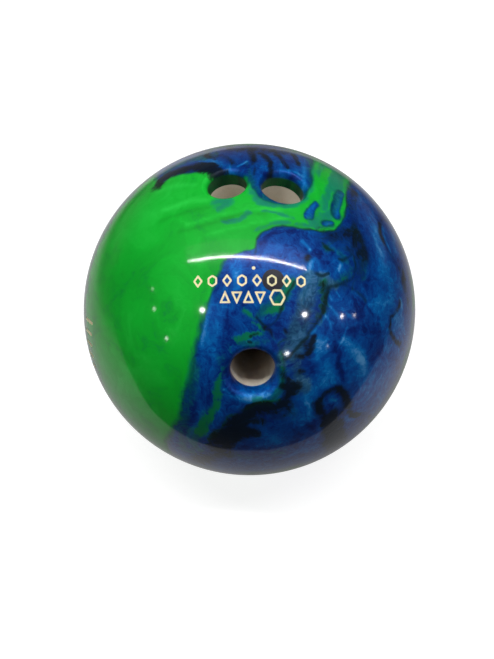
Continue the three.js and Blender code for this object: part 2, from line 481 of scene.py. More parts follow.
def build_marks():
    """The paint in each mark, and one tool that cuts all the grooves."""
    paints, grooves = {}, []
    floor = PAINT_DEPTH + GROOVE_GAP
    for name, axes, edges in list_marks():
        paints[name] = engraved_band(name + "_paint", edges, axes, 0, PAINT_RECESS / 2, PAINT_DEPTH)
        grooves.append(engraved_band("groove", edges, axes, GROOVE_GAP, -MM, floor))
    axes = place_axes(**CG_PLACE)
    radius = CG_RADIUS * MM
    paints["cg_mark"] = disc_object("cg_mark_paint", axes, radius, PAINT_RECESS, PAINT_DEPTH)
    grooves.append(disc_object("groove", axes, radius + GROOVE_GAP, -MM, floor))
    return paints, join("grooves", grooves)


# ---- The swirl: brush strokes on the ball ----

# A stroke is (strength, softness, width, points), or has a first and a last width. A width is measured from
# the stroke's middle and softness across its edge, both in degrees. A point is (across, along), in degrees.

VIEWED = place_axes(CAMERA_ELEVATION, 0)[:, 2]
# From the first to the second angle away from the view, noise takes over from the strokes.
EDGE_OF_VIEW = (66, 82)
# Noise moves the strokes about twice, by an amount in degrees. Without a seed the clock would change it.
FLOW_SEED = 7
BROAD_FLOW = {"scale": 8, "amount": 0.5, "seed": 3.1}
FINE_FLOW = {"scale": 24, "amount": 0.45, "seed": 8.4}

GREEN_REGION = [
    (-30, -60), (-28, -25), (-25.5, -10), (-24, -5), (-22, 0), (-21, 5), (-20.3, 10), (-18.5, 15),
    (-17.5, 20), (-16.8, 25), (-15.5, 30), (-14, 35), (-12.3, 40), (-10.3, 45), (-8.5, 50),
    (-6.5, 53.6), (-3, 55.2), (0, 55.8), (1.8, 56.5), (2.2, 59), (3.5, 61.2), (6, 62.8), (10, 64),
    (15, 64.3), (20, 64.3), (24, 65), (27, 66.3), (29.3, 69.5), (30.8, 74), (31.8, 79), (32.2, 84),
    (32.6, 89), (33.5, 94), (34.5, 98), (36, 104), (38, 125), (23, 125), (22, 108), (21, 100),
    (20.8, 95), (20.5, 90), (20, 85), (18.7, 80), (17, 76.3), (14, 73.6), (10, 72.3), (5, 73.2),
    (2.5, 75), (1, 78), (0, 81), (-1, 84), (-3, 85.8), (-8, 86.4), (-11, 87.2), (-13, 88.5),
    (-15, 89.5), (-18, 90.5), (-22, 92), (-26, 93.8), (-29, 91.5), (-31, 95), (-33, 104), (-37, 125),
    (-89, 125), (-89, -60),
]
# How soft the green's edge is, at some places along the ball, and how far from it that is worked out.
GREEN_SOFTNESS = ((-60, 25, 45, 56, 85, 105), (5.0, 3.4, 2.6, 1.0, 1.6, 4.0))
GREEN_REACH = 6
# How many straight steps the curve between two points has, in a stroke and round a region.
STROKE_STEPS = 3
REGION_STEPS = 4

# Small streaks of green in the blue.
FLECK_STROKES = [
    (0.9, 1.9, 0.9, 1.3, [
        (-7.9, 20.5), (-8.5, 17.5), (-9.8, 13), (-10.5, 8.5), (-11.5, 5), (-13, 1), (-15.5, -6),
    ]),
    (0.9, 1.3, 0.8, 0.2, [(-1.6, 37.6), (0.2, 36.1), (1.9, 34.6)]),
    (0.9, 1.1, 0.3, [(0.8, 34.2), (2.6, 33.2), (4.3, 31.5)]),
    (0.9, 1.3, 0.3, 0.9, [(4, 31), (1, 30.8), (-1.5, 30.2), (-4, 29.4)]),
    (0.6, 1.6, 0.4, 0.3, [(-5.4, 29.5), (-6.2, 27.5), (-5.8, 25.5)]),
    (0.85, 2.4, 1.3, 0.9, [(12.4, 45), (10.2, 41.2), (7.6, 38.2), (5.6, 36.4)]),
    (0.8, 0.8, 0.15, 0.2, [(7.8, 26.6), (9, 27.5), (10.6, 28.5)]),
    (0.7, 1, 0.1, 0.3, [
        (9.3, 9.4), (5, 9.4), (2, 8.8), (-0.5, 6.8), (-3, 5), (-6, 3), (-8, -0.5), (-10, -4),
    ]),
    (0.6, 2, 0.5, 1.2, [(-10, -4), (-12, -8), (-15, -16)]),
    (0.6, 0.9, 0.15, [(33.2, 57), (33.4, 53.5), (32.3, 50.5), (29, 48.2)]),
    (0.6, 1.2, 0.2, [(23.4, 59.5), (25, 58)]),
    (0.6, 3, 1, [(22.5, 46), (22.4, 42), (22, 38), (20.5, 34.6)]),
    (0.55, 1.5, 0.4, 0.3, [(8.8, 26), (10.2, 22), (10.3, 17.5), (9.6, 14.5)]),
]
# Islands of blue in the green.
BLUE_STROKES = [
    (1, 1.8, 1.7, 0.8, [(18.2, 69.4), (19.2, 72), (21.2, 75.5)]),
    (1, 2.2, 1.9, 1.5, [(27.6, 73.5), (27.8, 77), (28.8, 82), (30, 86.5)]),
    (0.9, 2.2, 1.2, 1, [(23.6, 68), (26, 68.8)]),
]
# Where blue and green are mixed, and where clear green crosses the mix.
TEAL_STROKES = [
    (0.9, 2.8, 1.2, [(-10, 73.2), (-6.5, 73.2), (-9, 70.8)]),
    (1, 2.6, 1.3, [(1, 76.5), (4, 72.6), (9, 71.2), (14, 72.6), (18, 76.5)]),
    (1, 3, 2.2, 4, [(20, 67.5), (24, 72), (26, 80), (28.5, 90), (30, 104)]),
    (0.9, 4, 2.5, 4, [(23.5, 93), (26, 99), (28, 108)]),
    (0.8, 1.8, 0.5, [(-8, 65.3), (-3, 66), (0, 68.8)]),
    (0.8, 1.6, 0.3, 0.5, [(4, 69.5), (10, 68.5), (13, 67.5)]),
    (0.9, 1.2, 0.7, 0.8, [(14, 65.4), (20, 65.9), (26, 67.5)]),
    (0.9, 1.6, 0.5, [(2, 62), (6, 64.2), (12, 65.4)]),
    (0.9, 3.4, 1.6, 2.2, [(-16.5, 20), (-18, 10), (-19.5, 0), (-21.5, -8), (-22, -20)]),
    (0.8, 3.4, 1.2, 1.8, [(-8, 24), (-10, 12), (-13, 2), (-16, -7), (-19, -20)]),
    (0.8, 2.2, 0.8, [(-4, 28.4), (2, 28), (7.5, 29.6)]),
    (0.9, 2.6, 1.4, [(2.5, 36.5), (5.5, 38.8), (9, 42), (12, 46.5)]),
    (0.7, 2.6, 1, [(23, 59), (29, 57), (32.5, 53.5), (30, 49), (26, 46.5)]),
    (0.7, 2.2, 0.8, [(23, 44), (22, 39), (20.5, 35.5)]),
    (0.9, 2.8, 1, [(-1, 92), (-0.4, 87), (0.8, 81), (2.5, 76.5), (7, 73)]),
    (0.8, 3, 1, [(18.6, 79), (19.8, 86), (20, 95), (20.5, 104)]),
    (0.8, 5, 3, [(-28, 103), (-20, 104), (-12, 102)]),
    (0.7, 5, 2, [(-7, -15), (2, -16), (10, -15)]),
    (1, 2.2, 1, 0.8, [(8.4, 27), (10, 22), (10, 17), (9, 13), (7, 10)]),
    (0.9, 2.2, 0.9, [(2, 9.6), (5, 9), (8.3, 9.3)]),
    (0.4, 3, 2, 1.5, [(34, 70), (37, 60), (37, 50)]),
    (0.6, 1.5, 0.6, [(25.8, 5.8), (27.6, 4.6)]),
]
BRIGHT_STROKES = [
    (1, 2, 0.8, 1.2, [(3, 70.2), (12, 70.6), (16.7, 72.3), (20.2, 77), (22.4, 83), (24.5, 90), (27, 102)]),
    (0.8, 1.2, 0.3, [(22.8, 72.5), (24.8, 74), (25.8, 78), (27, 84)]),
    (0.8, 1.2, 0.2, [(30.4, 76), (31.4, 82)]),
    (0.7, 1.2, 0.3, [(15, 68), (17, 66.9)]),
]

# Dark resin: smoky patches that the noise frays, and thin clear lines.
SMOKE_STROKES = [
    (1, 2.6, 1.6, 2.6, [
        (-31, 91), (-29.8, 94.6), (-26, 96.3), (-21, 95.4), (-16, 93.2), (-12.5, 91), (-10, 88.4),
    ]),
    (0.8, 1.6, 0.65, [(-10, 87.8), (-7.5, 86), (-3.5, 85.2)]),
    (1, 2.2, 0.8, 0.25, [(-9, 100), (-7.3, 97), (-5.2, 93), (-4.8, 91.5)]),
    (1, 2.6, 1.4, 0.25, [(0.6, 104), (0.9, 98), (1.2, 94), (0.5, 91)]),
    (0.95, 1.9, 0.6, 0.25, [(3.4, 101), (5.3, 96.7), (6.5, 93), (6.8, 89), (6.6, 86.5)]),
    (0.95, 2, 0.9, 0.2, [(8.2, 104), (9.8, 99), (11, 95), (12, 91)]),
    (0.8, 2, 0.75, 0.35, [(14, 104), (15, 99), (15.6, 95)]),
    (0.8, 2, 0.75, 0.35, [(-14, 104), (-12, 99.5), (-10.5, 97.5)]),
    (0.9, 5, 3.25, [(-6, 105), (1, 105.5), (8, 105)]),
    (0.9, 0.9, 0.3, 0.2, [(1.6, 88.6), (1.8, 87), (1.5, 84.8)]),
    (0.62, 3.6, 2, 1, [(28, 64), (31.8, 65.5), (33.4, 70), (33.8, 77), (34.4, 85), (36, 94)]),
    (0.5, 3.5, 1.7, 1.4, [(32, 61), (35.2, 57), (35, 51), (31, 46.5)]),
    (1, 2.6, 4.2, 1.6, [(-9.5, -12), (-7.6, -7), (-5.6, -3), (-3.6, 0.8), (-1.2, 3.8), (2, 6.2), (5.4, 7)]),
    (0.95, 3, 2.8, 1.8, [(-5, -4.5), (-1, -3.4), (2, -3)]),
    (0.9, 2.4, 1.3, 1.9, [(5, 6.8), (9.5, 7.2), (12, 10), (13.4, 13.4)]),
    (0.75, 6, 2.4, [(25, 63.8), (30, 65.2), (34, 66), (36, 61)]),
    (0.6, 2.4, 0.6, 0.5, [(15, 39.4), (17.6, 40), (20.4, 38.6), (20.6, 35.6), (18.6, 33.6)]),
    (0.95, 1.6, 0.9, 0.8, [(10, 14.4), (11.6, 13.6), (14.6, 13)]),
    (0.9, 4.5, 1.85, 2.75, [(-9, -10), (-7, -14), (-12, -19), (-17, -28)]),
    (0.7, 3.4, 1.45, [(4, 4.4), (9, 5), (12.6, 6.4)]),
    (0.5, 4.5, 2.2, 2, [(1, 1.6), (6, 2.4), (12, 4)]),
    (1, 1.7, 1, 1.5, [(22, 6.9), (24, 8.8), (26.5, 9.6), (29, 8.3), (30.8, 5.5), (31.8, 2.5), (33, -1)]),
    (1, 1.8, 1.5, 1.7, [(21.3, 5.6), (21.9, 3), (22.8, 0), (24.2, -4)]),
    (0.9, 3, 3, 5, [(26.6, -3), (27.5, -10), (29, -20), (31, -34)]),
    (0.75, 3, 1.45, [(26, -1.5), (29, -3), (31, -1.5)]),
    (0.75, 1.8, 0.65, 0.75, [(31.3, -1), (35, -6.5), (39, -12), (43, -20), (46, -30)]),
    (0.9, 1.8, 0.65, [(10.2, 18.4), (11.4, 16.4), (11, 14.6)]),
    (1, 1.3, 0.65, [(15.3, 18.9), (17, 18.6)]),
    (0.9, 1.3, 0.55, 0.65, [(14.6, 23.6), (16.4, 23.2)]),
    (1, 1.5, 0.55, 0.75, [(19.3, 29.6), (19.1, 26.4), (17.8, 23.8)]),
    (0.7, 2.2, 0.85, [(16.8, 27.6), (17.6, 25.6)]),
    (1, 1.2, 0.85, 0.35, [(4.6, 32.8), (5.9, 31.8), (6.3, 30)]),
    (1, 1, 0.65, [(10.2, 32), (10.7, 31.1)]),
    (0.9, 1.6, 0.65, 0.55, [(17.6, 55.2), (17.2, 53.6)]),
    (0.65, 2.4, 0.95, [(22.6, 45.5), (23, 42), (22, 37.8), (20, 34.4)]),
    (0.7, 1.5, 0.45, [(14.4, 39.2), (16, 38.8), (18, 37.6)]),
    (0.9, 1.8, 0.4, 0.7, [
        (51.5, 95), (49, 90), (47.4, 84), (46.8, 78), (47.8, 73), (50, 69), (53, 66), (57, 63.5),
    ]),
    (0.6, 5, 1.5, 1.8, [(60, 62), (62, 54), (64, 46)]),
    (0.9, 1.5, 0.45, [(56.5, 42), (56, 39.6), (54.6, 37.6)]),
    (0.7, 1.2, 0.45, [(54, 37.4), (51.6, 34.6)]),
    (0.9, 1.6, 0.45, [(50.3, 34), (50, 30.5), (50.4, 27), (52, 23.5), (54.5, 20), (58, 16.5)]),
]
LINE_STROKES = [
    (0.8, 0.9, 0.22, 0.27, [
        (2, 54.5), (2, 58), (3.3, 61.1), (6, 62.8), (10, 64), (15, 64.3), (20, 64.3), (24, 65),
    ]),
    (0.85, 0.9, 0.27, 0.32, [
        (24, 65), (27, 66.3), (29.3, 69.5), (30.8, 74), (31.8, 79), (32.4, 86), (33.6, 94),
    ]),
    (0.9, 0.9, 0.32, [(22.6, 60.2), (24.2, 58.6), (26.5, 57.5)]),
    (0.9, 0.8, 0.27, [(28.3, 55.4), (30, 55.8), (31.6, 56.8), (32.6, 58)]),
    (0.9, 1.1, 0.27, 0.42, [
        (33.8, 57.5), (34.3, 54), (33.6, 50.8), (32, 48.8), (29, 47), (26, 45.6), (24, 44.8),
    ]),
    (0.9, 1, 0.32, 0.22, [(20.3, 49.3), (22, 48.8), (24.2, 49.6)]),
    (1, 1.1, 0.37, 0.32, [
        (1.8, 35.8), (3.5, 34), (5.5, 33.2), (7.3, 34), (8.6, 36.5), (9.8, 40), (13.4, 46),
    ]),
    (1, 1.1, 0.42, 0.37, [(24, 44.8), (23.6, 42), (23, 39), (21.8, 36), (19.8, 33.6), (18, 31.6), (17, 29)]),
    (1, 1, 0.37, 0.32, [(17, 29), (15, 26.8), (13, 24.8), (11, 23)]),
    (0.8, 1.2, 0.32, 0.22, [(24, 44.2), (26.5, 45.8), (30, 46.3), (33.5, 45.4), (36.5, 43.2), (38.5, 41.3)]),
    (0.9, 0.8, 0.27, 0.22, [(8, 27.2), (9.4, 28.1), (11, 29.2)]),
    (0.9, 0.7, 0.22, [(0.3, 30.2), (2.5, 30.9)]),
    (0.9, 0.6, 0.27, [(-0.4, 28.6), (0.4, 28.6)]),
    (0.7, 1, 0.22, [(9.3, 26), (10.4, 22.5), (10.3, 18), (9.2, 14)]),
]
# Pale crumbly resin like rock, and resin whose texture runs in streaks.
PALE_STROKES = [
    (1, 2.6, 2.6, 3.6, [(18, 47), (17.4, 42), (16.4, 37), (14.8, 33.2), (13.2, 29.5)]),
    (1, 2, 1.7, 1.6, [(11.5, 27), (9.9, 24.8), (9.8, 22.4)]),
    (0.8, 3.2, 2.3, [(14, 26), (14.2, 21), (15, 17), (15.6, 13)]),
    (0.9, 1.8, 1.4, 1.2, [(21.5, 48), (23.5, 46.8), (26.4, 46)]),
    (0.7, 1.5, 1.2, 1, [(20, 36.4), (21.4, 34.2)]),
]
STREAKY_STROKES = [
    (1, 8, 7, 6, [(-24, -20), (-17, 5), (-14, 25), (-9, 42), (-4, 52)]),
    (1, 8, 16, [(-16, 100), (8, 99)]),
    (1, 6, 5, 8, [(38, 56), (44, 62), (44, 80)]),
    (1, 5, 5, 6, [(21, 70), (26, 82), (30, 100)]),
]

# The strokes of these fields, and how much softer than written their edges are.
STROKE_FIELDS = {
    "fleck": (FLECK_STROKES, 1.7),
    "teal": (TEAL_STROKES, 1.3),
    "smoke": (SMOKE_STROKES, 1.7),
    "line": (LINE_STROKES, 1.5),
    "pale": (PALE_STROKES, 1.6),
    "streaky": (STREAKY_STROKES, 1.0),
}

# Soft lighter tone in the pearl and the green, darker below zero strength; two strokes are painted sheen.
CLOUD_AND_SHEEN_STROKES = [
    # Painted sheen: the lavender glow over the lobe beside the tube's reflection.
    (0.12, 5, 2, [(7, 57.3), (12.5, 56)]),
    (0.6, 1.6, 0.4, [(16, 60), (17, 58.8), (18.5, 57.2)]),
    (-0.2, 2, 0.4, [(3.5, 57.5), (5, 60), (9, 62.3), (16, 62.8)]),
    (0.28, 1.8, 0.4, [(24.6, 60.6), (27.6, 57.6)]),
    (0.55, 1.3, 0.4, [(29, 53.6), (28.3, 51.2)]),
    # Painted sheen: the lavender glow along the ridge at the end of the tube's reflection.
    (0.6, 1.8, 0.5, [(18.5, 53), (18, 50), (17.3, 46.5), (16.3, 43), (15.8, 40)]),
    (0.5, 1.1, 0.2, [(24.6, 42.6), (25.4, 41)]),
    (0.5, 1.1, 0.2, [(27.2, 44), (28.3, 42.6)]),
    (0.4, 1.3, 0.3, [(18.6, 30.6), (21, 33), (23, 35.6)]),
    (0.4, 1.1, 0.2, [(22.5, 37.2), (24, 34.6), (25, 31.5)]),
    (0.4, 1.3, 0.3, [(23.6, 40), (25.6, 37.6), (28, 35)]),
    (0.3, 1.3, 0.3, [(29, 38.4), (31, 36.6), (34.5, 33)]),
    (0.3, 3.5, 2.4, [(22, 27), (23, 20), (24.5, 13)]),
    (0.3, 2.8, 1.4, [(30, 27), (33, 24), (36.5, 19.5), (38.5, 13)]),
    (0.35, 2.4, 0.8, [(35.6, 18.8), (37.2, 18)]),
    (0.4, 1, 0.2, [(31, 31.4), (30, 29), (28.8, 26), (27.4, 24)]),
    (-0.22, 2.2, 0.9, [(27.3, 24.5), (28.5, 18), (30.2, 12)]),
    (-0.2, 5, 3.5, [(37, 38), (41.5, 29), (43, 20)]),
    (0.1, 12, 9, [(46, 66), (48, 40), (42, 14)]),
    (0.16, 9, 4, 5, [(7, -4), (14, 0), (18, 8)]),
    (-0.2, 3, 1.5, [(24, 52), (21.5, 56)]),
    (-0.22, 7, 3, [(38, 72), (39.5, 60), (39.5, 49)]),
    (0.1, 4, 2, [(44, 76), (46, 64), (50, 55), (51.5, 45)]),
    (0.2, 2.4, 0.6, [(45, 78), (43.6, 71), (46, 64)]),
    (0.08, 5, 3.5, [(-9, 42), (-10, 30), (-12.5, 18)]),
    (0.25, 2.4, 0.6, [(-11, 42), (-13, 34), (-14, 27)]),
    (-0.15, 4, 1.5, [(-6.5, 35), (-7, 23), (-5, 11)]),
    (0.3, 3, 1, [(-3, 45), (-5, 51)]),
    (-0.12, 5, 3, [(4, 4), (10, -1), (17, -6)]),
    (0.2, 4, 1.5, [(8, -8), (3, -10)]),
    (0.45, 1.6, 0.4, [(25.4, 5.8), (27.6, 4.6)]),
    (0.25, 4, 2, [(55, 84), (56, 76)]),
    (0.4, 1.6, 0.3, [(49.2, 81), (49.3, 75), (52, 69.4)]),
    (0.5, 1.8, 0.5, [(57.4, 42.6), (58, 39.4)]),
    (0.15, 5, 3, [(56, 33), (58, 26)]),
    (0.4, 2, 0.6, [(-7.5, 13), (-4, 10.8), (1, 9.9), (6, 11.5)]),
    (0.3, 1, 0.2, [(5.5, 12), (7.6, 12)]),
    (-0.35, 2.4, 1.2, [(5, 86), (9, 85.3), (13.5, 86.5)]),
    (0.2, 4, 1.5, [(-7, 90), (-12, 97)]),
    (0.35, 2, 0.5, [(17.2, 79), (17.6, 84), (16, 88.5), (12, 89.6)]),
    (0.8, 1.2, 0.25, 0.15, [(-0.8, 93.2), (-2.6, 91.3), (-3.8, 90)]),
    (0.25, 2, 0.8, [(17.6, 88), (18, 95)]),
    (0.2, 2, 1, [(18, 69), (19, 71.5), (21.5, 75.5)]),
    (0.2, 2, 1.2, [(28.2, 73.5), (28, 77), (29.3, 82), (30.6, 86.5)]),
    (0.35, 2, 1, [(24, 67.6), (26, 68.2)]),
    (0.4, 3.2, 0.5, 0.4, [(-19.1, 66.2), (-9, 68.2), (0.1, 69.5), (9.2, 70.1)]),
    (0.4, 2.8, 0.4, 0.3, [(-12.7, 61.5), (-5.1, 63), (3.8, 65.1), (12.2, 67.7)]),
    (0.4, 3, 0.8, 0.6, [(-27.2, 75.2), (-19.4, 75.5), (-13, 74.6)]),
    (-0.5, 2.8, 0.7, 0.5, [(-7.4, 66.2), (-2.2, 68.4), (4.6, 68.5)]),
    (-0.4, 2.8, 0.4, [(-21.5, 63.9), (-12, 65.3), (-5.2, 66.5)]),
    (-0.35, 3, 0.6, 0.5, [(-28.7, 70.2), (-20.9, 71.1), (-12.1, 71.5)]),
    (0.35, 3, 0.8, 0.6, [(-31.7, 88), (-25.1, 86.6), (-17.3, 83.1)]),
]


def along_and_across(directions):
    """Places of directions, in degrees. Along runs from -90 to 270."""
    across = np.degrees(np.arcsin(np.clip(directions[:, 0], -1, 1)))
    along = np.degrees(np.arctan2(directions[:, 2], -directions[:, 1]))
    return np.where(along < -90, along + 360, along), across


def warped(directions, scale, amount, seed):
    """Directions moved about by noise, so that strokes get flowing edges. The amount is in degrees."""
    shift = Vector((seed, 2 * seed, -seed))
    push = np.array([noise.noise_vector(Vector(d) * scale + shift) for d in directions])
    return unit(directions + push * math.radians(amount))


def stroke_gap(directions, points, first_width, last_width, reach):
    """How far inside a stroke each direction is, in degrees; below zero is outside, down to the reach."""
    path = curve_through(points, STROKE_STEPS)
    ends = np.array([place_axes(along, across)[:, 2] for across, along in path])
    widths = np.linspace(first_width, last_width, len(ends))
    middle = unit(ends.mean(axis=0))
    limit = np.arccos(np.clip(ends @ middle, -1, 1)).max()
    limit += math.radians(max(first_width, last_width) + reach)
    near = directions @ middle > math.cos(min(limit, math.pi))
    close = directions[near]
    best = np.full(len(close), -float(reach))
    for start, end, width, next_width in zip(ends, ends[1:], widths, widths[1:]):
        step = end - start
        t = np.clip((close - start) @ step / (step @ step), 0, 1)
        gap = np.degrees(np.linalg.norm(close - start - t[:, None] * step, axis=1))
        best = np.maximum(best, width + (next_width - width) * t - gap)
    field = np.full(len(directions), -float(reach))
    field[near] = best
    return field


def inside_region(directions, corners):
    """Which directions are inside a region with these corners."""
    along, across = along_and_across(directions)
    inside = np.zeros(len(directions), bool)
    path = curve_through(corners + corners[:1], REGION_STEPS)
    for (x0, y0), (x1, y1) in zip(path, path[1:]):
        crosses = (y0 > along) != (y1 > along)
        slope = (x1 - x0) / (y1 - y0) if y1 != y0 else 0
        inside ^= crosses & (across < x0 + slope * (along - y0))
    return inside


def stroke_strength(directions, stroke, spread=1.0):
    """A stroke's strength at each direction. It falls to zero across an edge that the spread softens."""
    strength, softness, *widths, points = stroke
    softness *= spread
    gap = stroke_gap(directions, points, widths[0], widths[-1], softness)
    share = np.clip(gap / softness + 0.5, 0, 1)
    return strength * share * share * (3 - 2 * share)


def strongest(directions, strokes, spread=1.0):
    """The strongest of some strokes at each direction."""
    field = np.zeros(len(directions))
    for stroke in strokes:
        field = np.maximum(field, stroke_strength(directions, stroke, spread))
    return field


def green_field(directions):
    """Where the green resin is: 1 inside its region, 0 outside, and between the two at its soft edge."""
    along, _ = along_and_across(directions)
    softness = np.interp(along, *GREEN_SOFTNESS)
    edge = -stroke_gap(directions, GREEN_REGION + GREEN_REGION[:1], 0, 0, GREEN_REACH)
    side = np.where(inside_region(directions, GREEN_REGION), 1, -1)
    green = np.clip(0.5 + side * edge / softness, 0, 1)
    return np.minimum(green, 1 - strongest(directions, BLUE_STROKES))


def swirl_fields(directions):
    """The swirl's layout at each direction from the ball's centre. All but the light run from 0 to 1."""
    noise.seed_set(FLOW_SEED)
    flowing = warped(warped(directions, **BROAD_FLOW), **FINE_FLOW)
    from_view = np.degrees(np.arccos(np.clip(directions @ VIEWED, -1, 1)))
    start, end = EDGE_OF_VIEW
    fields = {name: strongest(flowing, *strokes) for name, strokes in STROKE_FIELDS.items()}
    fields["teal"] *= 1 - strongest(flowing, BRIGHT_STROKES)
    fields["green"] = green_field(flowing)
    # The light field holds the resin's lighter and darker clouds, and the painted sheen beside the tube.
    fields["light"] = sum(stroke_strength(flowing, stroke) for stroke in CLOUD_AND_SHEEN_STROKES)
    fields["far"] = np.clip((from_view - start) / (end - start), 0, 1)
    return fields


# Deep in the finger holes the wall is painted darker than the resin's green: painted shade.
# Where a finger hole's wall turns deep green: a share of its rim's depth, and of that depth again.
WALL_START = 0.7
WALL_FADE = 0.3


def inside_fingers(places):
    """How far into a finger hole each point is: 0 at its rim, 1 on its bore."""
    inside = np.zeros(len(places))
    for name in ("left_finger", "right_finger"):
        hole, out = HOLES[name], hole_axes(name)[:, 2]
        height = places @ out
        distance = np.linalg.norm(places - height[:, None] * out, axis=1)
        depth = np.sqrt(BALL_RADIUS**2 - np.minimum(distance, BALL_RADIUS) ** 2) - height
        near = (height > 0) & (distance < hole["radius"] + hole["edge_width"])
        start = hole["edge_depth"] * WALL_START
        inside = np.where(near, np.clip((depth - start) / (WALL_FADE * start), 0, 1), inside)
    return inside


def on_cut_surface(mesh, places):
    """Which faces the drill and the bevel tool made."""
    on_hole = np.zeros(len(places), bool)
    for name in HOLES:
        near, _ = hole_surface(places, name)
        on_hole |= near & (np.linalg.norm(places, axis=1) < BALL_RADIUS - BELOW_SURFACE)
    return [any(on_hole[i] for i in face.vertices) for face in mesh.polygons]


def add_fields(made, fields):
    """Puts fields on an object's vertices, where its material reads them by name."""
    for name, values in fields.items():
        attribute = made.data.attributes.new(name, "FLOAT", "POINT")
        attribute.data.foreach_set("value", np.asarray(values, np.float32))


# ---- Materials ----

# Colours from dark to light, each after its place on a ramp.
BLUE_TONES = [
    (0.0, (0, 0.006, 0.075)),
    (0.25, (0, 0.025, 0.21)),
    (0.5, (0, 0.088, 0.42)),
    (0.72, (0, 0.195, 0.61)),
    (1.0, (0.11, 0.4, 0.8)),
]
TEAL_TONES = [(0.1, (0, 0.03, 0.05)), (0.45, (0, 0.11, 0.15)), (0.9, (0.01, 0.28, 0.29))]
GREEN_TONES = [(0.32, (0, 0.34, 0.014)), (0.5, (0.002, 0.49, 0.025)), (0.68, (0.02, 0.64, 0.06))]
SEA_GREEN_TONES = [(0.3, (0, 0.15, 0.12)), (0.7, (0.002, 0.33, 0.13))]
ROCK_TONES = [
    (0.38, (0.002, 0.018, 0.036)),
    (0.46, (0.012, 0.075, 0.14)),
    (0.53, (0.03, 0.14, 0.26)),
    (0.62, (0.09, 0.26, 0.45)),
]
# The resin's green darkened by painted shade, for the walls deep in the finger holes.
SHADED_FINGER_WALL_TONES = [(0.35, (0, 0.02, 0.015)), (0.65, (0, 0.12, 0.025))]
CREAM_TONES = [(0.3, (0.62, 0.53, 0.42)), (0.5, (0.76, 0.68, 0.56)), (0.7, (0.84, 0.78, 0.68))]
BLOCK_TONES = [(0.3, (0.01, 0.01, 0.011)), (0.7, (0.035, 0.034, 0.036))]
PIN_TONES = [(0.3, (0.01, 0.01, 0.018)), (0.7, (0.02, 0.019, 0.03))]
PAINT_TONES = [(0.3, (0.86, 0.77, 0.42)), (0.6, (0.96, 0.89, 0.56)), (0.8, (0.97, 0.92, 0.66))]
GREEN_EDGE = (0, 0.12, 0.09, 1)
FLECK_GREEN = (0.002, 0.24, 0.065, 1)
SMOKE_BLACK = (0.003, 0.007, 0.011, 1)
LINE_BLACK = (0.001, 0.02, 0.024, 1)
PEARL_TINT = (0.78, 0.86, 1.0, 1.0)

# The swirl's noises: scale, detail, roughness and distortion.
NOISES = {
    "broad": (9.0, 2.0, 0.5, 0.0),
    "billows": (34.0, 7.0, 0.62, 0.8),
    "streaks": (26.0, 7.0, 0.66, 0.3),
    "wisps": (90.0, 6.0, 0.68, 2.0),
    "ridges": (42.0, 3.0, 0.5, 1.6),
    "crumbs": (170.0, 6.0, 0.7, 1.0),
    "fine": (300.0, 4.0, 0.65, 0.0),
    "ripple": (60.0, 2.0, 0.5, 0.0),
    "far_patches": (7.5, 2.0, 0.5, 0.4),
    "far_veins": (11.0, 3.0, 0.5, 0.0),
}
# How noise moves the places that those noises are read at: scale, and amount in metres.
FLOW_PUSH = (26.0, 0.05)
STREAK_PUSH = (14.0, 0.03)
PUSH_DETAIL = 4.0
PUSH_ROUGHNESS = 0.6
STREAK_STRETCH = (5, 1, 1)

# How far the noises swing a field's edge, how far each field takes that up, and from what strength.
FRAY = {"texture": 0.8, "wisps": 0.45}
FRAYING = {"green": 0.8, "fleck": 2.4, "smoke": 2.2, "line": 1.2, "pale": 2.0, "teal": 2.0}
FRAY_START = 0.3
# How sharp the patches and veins that noise lays out are, and how wide the veins.
FAR_SHARPNESS = 9.0
FAR_VEIN = 0.8

# The pearl's mean lightness, and how far each noise swings it.
PEARL_LEVEL = 0.42
PEARL_SWING = {"texture": 0.5, "wisps": 0.45, "fine": 0.22}
# Thin filaments: how wide, in what range of the billows, and how much lighter.
FILAMENT_WIDTH = 0.03
FILAMENT_BILLOWS = (0.42, 0.6)
FILAMENT_LIGHT = 0.08
# How far light strokes and noise change the greens, and how teal makes them sea green.
GREEN_LIGHT = 0.35
SEA_GREEN_SWING = 0.3
SEA_GREEN_TEAL = (0.0, 1.05)
CRUMB_SHARE = 0.55  # how much of the rock's pattern is crumbs, not billows
PEARL_RANGE = (0.6, 0.3)  # green strengths from no pearl to all pearl


